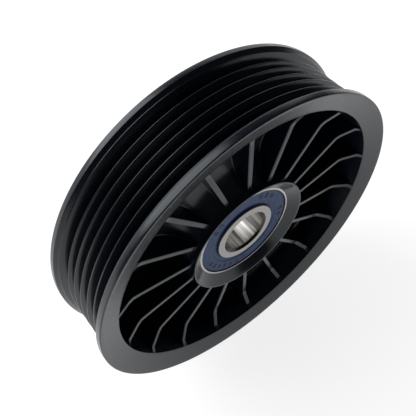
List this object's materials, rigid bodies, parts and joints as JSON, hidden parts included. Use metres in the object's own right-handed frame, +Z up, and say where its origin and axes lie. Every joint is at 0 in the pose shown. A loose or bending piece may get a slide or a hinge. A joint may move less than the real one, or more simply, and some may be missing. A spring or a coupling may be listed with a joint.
{
  "type": "belt tensioner idler pulley",
  "caption": "Moulded ribbed-belt idler pulley with radial stiffening ribs, spinning on a sealed deep-groove ball bearing.",
  "frame": {"origin": "centre of the bearing: on the spin axis, midway between the bearing's two faces", "axes": "+Y along the spin axis, towards the tensioner arm that the bearing's rear face sits on; the ribbed front face looks along -Y; +Z up"},
  "size_m": [0.1216, 0.0281, 0.1216],
  "materials": {
    "pulley_plastic": "fine satin, glass-filled nylon",
    "bearing_steel": "ground",
    "ball_steel": "polished",
    "pressed_steel": "as pressed",
    "seal_rubber": "moulded, satin"
  },
  "bodies": {
    "inner_ring": {"bearing_inner_ring": "bearing_steel"},
    "pulley": {"pulley_body": "pulley_plastic", "bearing_outer_ring": "bearing_steel", "seal_front_rubber": "seal_rubber", "seal_front_insert": "pressed_steel", "seal_rear_rubber": "seal_rubber", "seal_rear_insert": "pressed_steel"},
    "cage": {"cage_front_half": "pressed_steel", "cage_rear_half": "pressed_steel", "cage_rivets": "pressed_steel"},
    "ball_body_1": {"ball_1": "ball_steel"},
    "ball_body_2": {"ball_2": "ball_steel"},
    "ball_body_3": {"ball_3": "ball_steel"},
    "ball_body_4": {"ball_4": "ball_steel"},
    "ball_body_5": {"ball_5": "ball_steel"},
    "ball_body_6": {"ball_6": "ball_steel"},
    "ball_body_7": {"ball_7": "ball_steel"},
    "ball_body_8": {"ball_8": "ball_steel"}
  },
  "joints": [
    {"name": "pulley_spin", "type": "hinge", "parent": "inner_ring", "child": "pulley", "pos_m": [0, 0, 0], "axis": [0, 1, 0], "continuous": true},
    {"name": "cage_spin", "type": "hinge", "parent": "inner_ring", "child": "cage", "pos_m": [0, 0, 0], "axis": [0, 1, 0], "continuous": true},
    {"name": "ball_1_spin", "type": "hinge", "parent": "cage", "child": "ball_body_1", "pos_m": [0.01425, 0, 0], "axis": [0, 1, 0], "continuous": true},
    {"name": "ball_2_spin", "type": "hinge", "parent": "cage", "child": "ball_body_2", "pos_m": [0.01008, 0, 0.01008], "axis": [0, 1, 0], "continuous": true},
    {"name": "ball_3_spin", "type": "hinge", "parent": "cage", "child": "ball_body_3", "pos_m": [0, 0, 0.01425], "axis": [0, 1, 0], "continuous": true},
    {"name": "ball_4_spin", "type": "hinge", "parent": "cage", "child": "ball_body_4", "pos_m": [-0.01008, 0, 0.01008], "axis": [0, 1, 0], "continuous": true},
    {"name": "ball_5_spin", "type": "hinge", "parent": "cage", "child": "ball_body_5", "pos_m": [-0.01425, 0, 0], "axis": [0, 1, 0], "continuous": true},
    {"name": "ball_6_spin", "type": "hinge", "parent": "cage", "child": "ball_body_6", "pos_m": [-0.01008, 0, -0.01008], "axis": [0, 1, 0], "continuous": true},
    {"name": "ball_7_spin", "type": "hinge", "parent": "cage", "child": "ball_body_7", "pos_m": [0, 0, -0.01425], "axis": [0, 1, 0], "continuous": true},
    {"name": "ball_8_spin", "type": "hinge", "parent": "cage", "child": "ball_body_8", "pos_m": [0.01008, 0, -0.01008], "axis": [0, 1, 0], "continuous": true}
  ],
  "couplings": [
    {"joint": "cage_spin", "follows": "pulley_spin", "ratio": 0.61837},
    {"joint": "ball_1_spin", "follows": "pulley_spin", "ratio": 1.9937},
    {"joint": "ball_2_spin", "follows": "pulley_spin", "ratio": 1.9937},
    {"joint": "ball_3_spin", "follows": "pulley_spin", "ratio": 1.9937},
    {"joint": "ball_4_spin", "follows": "pulley_spin", "ratio": 1.9937},
    {"joint": "ball_5_spin", "follows": "pulley_spin", "ratio": 1.9937},
    {"joint": "ball_6_spin", "follows": "pulley_spin", "ratio": 1.9937},
    {"joint": "ball_7_spin", "follows": "pulley_spin", "ratio": 1.9937},
    {"joint": "ball_8_spin", "follows": "pulley_spin", "ratio": 1.9937}
  ]
}
